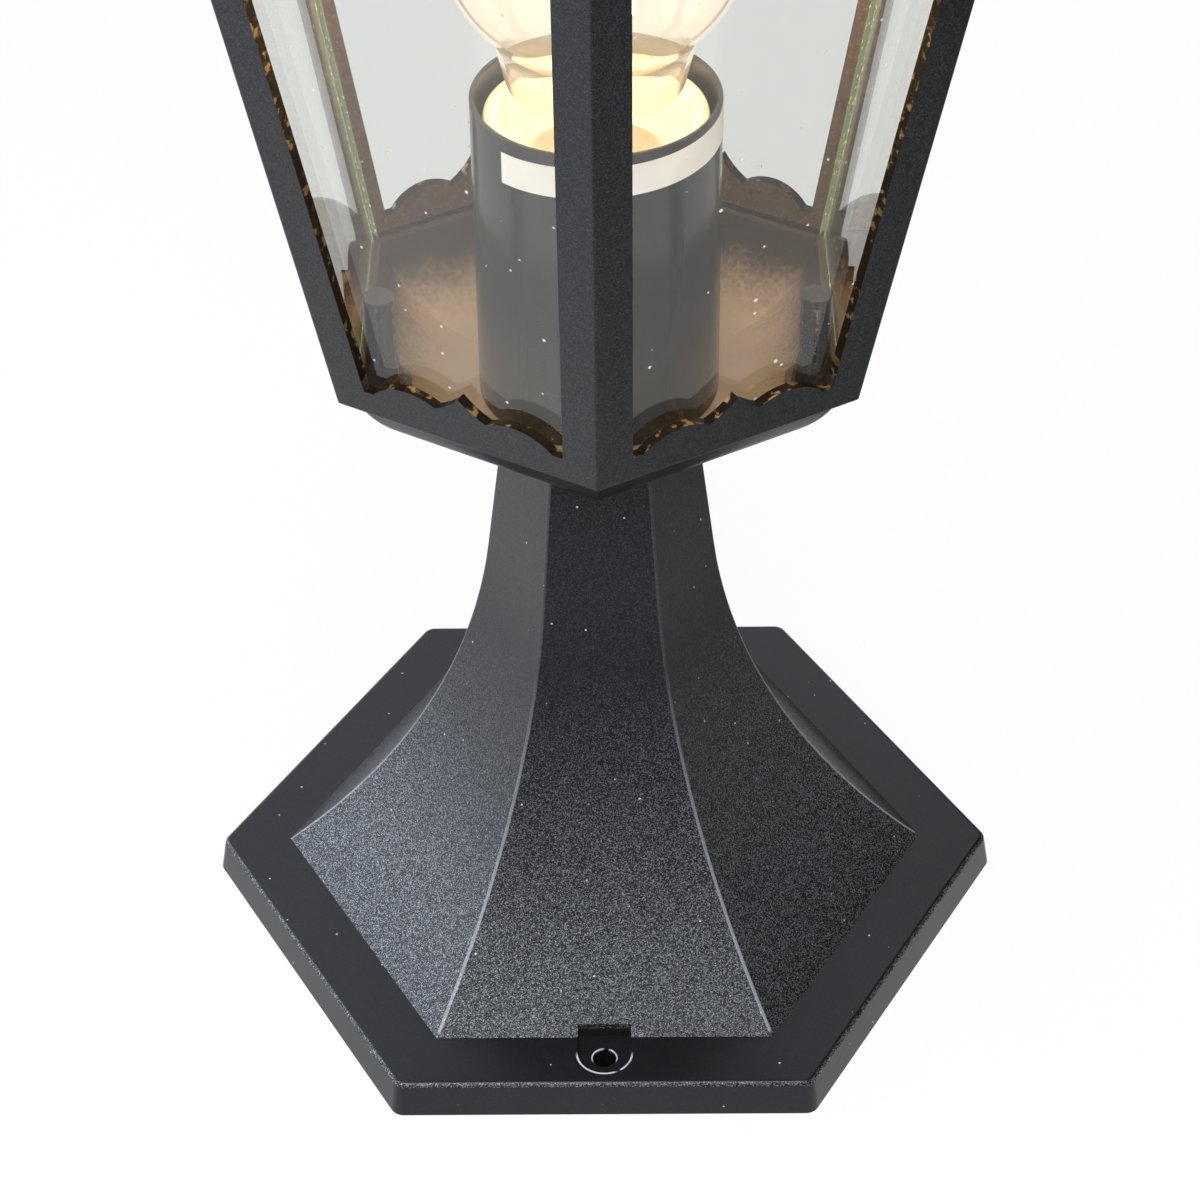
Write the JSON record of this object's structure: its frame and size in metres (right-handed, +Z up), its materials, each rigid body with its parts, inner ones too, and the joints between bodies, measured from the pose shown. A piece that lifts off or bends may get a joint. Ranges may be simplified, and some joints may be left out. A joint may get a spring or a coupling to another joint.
{
  "type": "pedestal lamp",
  "caption": "Outdoor hexagonal pedestal lamp: cast lantern with clear glass panes and a lit bulb, on a flared pedestal with a bolt-down base plate.",
  "frame": {"origin": "middle of the base plate's underside, on the ground", "axes": "+Z up along the lamp's axis; -Y towards the viewer, square to a flat side of the base plate; +X to the viewer's right, through a corner of the base plate"},
  "size_m": [0.173, 0.1792, 0.3798],
  "materials": {
    "painted_casting": "fine-textured black powder coat with a metallic sparkle",
    "tube_paint": "satin dark grey paint",
    "pane_glass": "clear, polished",
    "bulb_glass": "clear, polished",
    "porcelain": "glazed",
    "contact_brass": "bare",
    "cap_metal": "bare",
    "cap_glass": "black glass",
    "tip_solder": "dull solder",
    "cement": "matte",
    "filament": "matte coating that glows in use",
    "support_wire": "drawn wire",
    "zinc_steel": "zinc plated",
    "block_plastic": "matte",
    "lead_brown": "smooth insulation",
    "lead_blue": "smooth insulation"
  },
  "bodies": {
    "root": {"pedestal_base": "painted_casting", "lantern_frame": "painted_casting", "roof": "painted_casting", "finial": "painted_casting", "socket_tube": "tube_paint", "glass_pane_1": "pane_glass", "glass_pane_2": "pane_glass", "glass_pane_3": "pane_glass", "glass_pane_4": "pane_glass", "glass_pane_5": "pane_glass", "glass_pane_6": "pane_glass", "bulb_glass": "bulb_glass", "bulb_stem": "bulb_glass", "lampholder": "porcelain", "screw_shell": "contact_brass", "centre_contact": "contact_brass", "shell_terminal": "contact_brass", "bulb_cap": "cap_metal", "cap_insulator": "cap_glass", "tip_contact": "tip_solder", "basing_cement": "cement", "filament_sticks": "filament", "support_wires": "support_wire", "threaded_nipple": "zinc_steel", "lower_washer": "zinc_steel", "lower_nut": "zinc_steel", "upper_washer": "zinc_steel", "upper_nut": "zinc_steel", "finial_nut": "zinc_steel", "terminal_bracket": "zinc_steel", "block_screw": "zinc_steel", "earth_screw": "zinc_steel", "clamp_screws": "zinc_steel", "roof_screws": "zinc_steel", "terminal_block": "block_plastic", "lead_live": "lead_brown", "lead_neutral": "lead_blue"}
  },
  "joints": []
}
